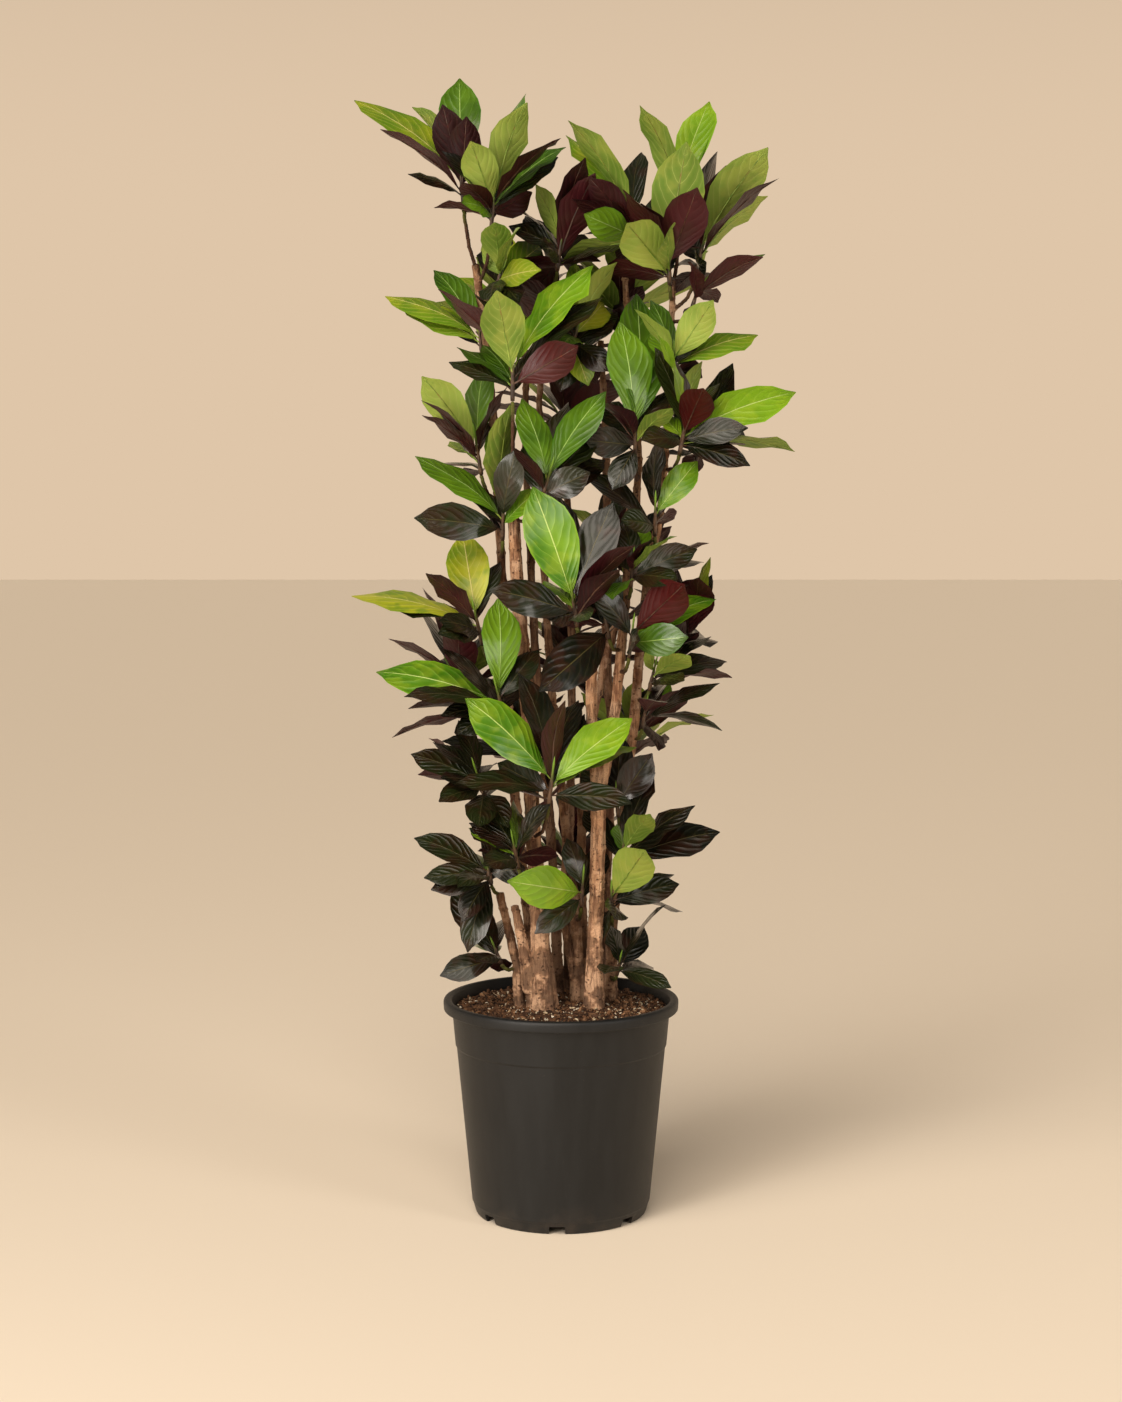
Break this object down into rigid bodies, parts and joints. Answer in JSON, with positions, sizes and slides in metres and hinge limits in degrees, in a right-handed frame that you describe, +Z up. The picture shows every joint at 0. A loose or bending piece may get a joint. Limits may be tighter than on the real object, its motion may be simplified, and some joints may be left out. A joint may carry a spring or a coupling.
{
  "type": "potted croton plant",
  "caption": "Tall bushy croton house plant: woody stems with broad leathery leaves, dark below and lime near the top, growing in a round black nursery pot.",
  "frame": {"origin": "centre of the pot's foot, on the surface that the pot stands on", "axes": "+Z up along the pot's axis; -Y towards the plant's front, where the largest lime leaves hang; +X to the right of a viewer who faces that front"},
  "size_m": [0.5995, 0.4755, 1.532],
  "materials": {
    "pot": "satin black injection-moulded plastic",
    "mix": "moist bark and peat potting mix with pale chips",
    "bark": "tan bark with fine fissures and dark lenticels",
    "leaf_dark": "glossy near-black green blades, matte maroon below, with some lime ones",
    "leaf_maroon": "maroon undersides and glossy dark green uppers",
    "leaf_pale": "matte olive undersides and glossy lime and yellow uppers"
  },
  "bodies": {
    "root": {"pot": "pot", "soil": "mix", "trunk_left": "bark", "stub_left_outer": "bark", "trunk_right": "bark", "stem_right_tall": "bark", "stem_centre_right": "bark", "stem_centre": "bark", "stem_left_tall": "bark", "stem_back_left": "bark", "stem_back_right": "bark", "stem_back_middle": "bark", "spray_crown_left_outer": "leaf_maroon", "spray_crown_left_inner": "leaf_maroon", "spray_heart_left": "leaf_pale", "spray_crown_middle": "leaf_maroon", "spray_crown_right_inner": "leaf_pale", "spray_crown_right": "leaf_maroon", "spray_crown_right_top": "leaf_pale", "spray_crown_right_outer": "leaf_pale", "spray_crown_right_low": "leaf_maroon", "spray_shoulder_left": "leaf_dark", "spray_shoulder_left_outer": "leaf_pale", "spray_flank_left_upper": "leaf_maroon", "spray_flank_left": "leaf_dark", "spray_front_upper": "leaf_dark", "spray_centre_upper": "leaf_dark", "spray_heart_upper": "leaf_dark", "spray_shoulder_right": "leaf_pale", "spray_flank_right_top": "leaf_dark", "spray_flank_right_upper": "leaf_dark", "spray_front_middle": "leaf_dark", "spray_flank_right": "leaf_dark", "spray_heart_middle": "leaf_dark", "spray_flank_left_middle": "leaf_dark", "spray_flank_left_lower": "leaf_dark", "spray_front_lower": "leaf_dark", "spray_low_left": "leaf_dark", "spray_low_left_front": "leaf_dark", "spray_low_left_outer": "leaf_dark", "spray_base_left": "leaf_dark", "spray_low_front": "leaf_pale", "spray_low_right": "leaf_dark", "spray_low_right_upper": "leaf_dark", "spray_middle_right": "leaf_dark", "spray_flank_right_lower": "leaf_dark", "spray_flank_right_middle": "leaf_dark", "spray_flank_right_tail": "leaf_dark", "spray_base_right": "leaf_dark", "spray_back_1": "leaf_dark", "spray_back_2": "leaf_dark", "spray_back_3": "leaf_dark", "spray_back_4": "leaf_dark", "spray_back_5": "leaf_dark", "spray_back_6": "leaf_dark", "spray_back_7": "leaf_dark", "spray_back_8": "leaf_dark", "spray_back_9": "leaf_dark", "spray_back_10": "leaf_dark", "spray_back_11": "leaf_dark"}
  },
  "joints": []
}
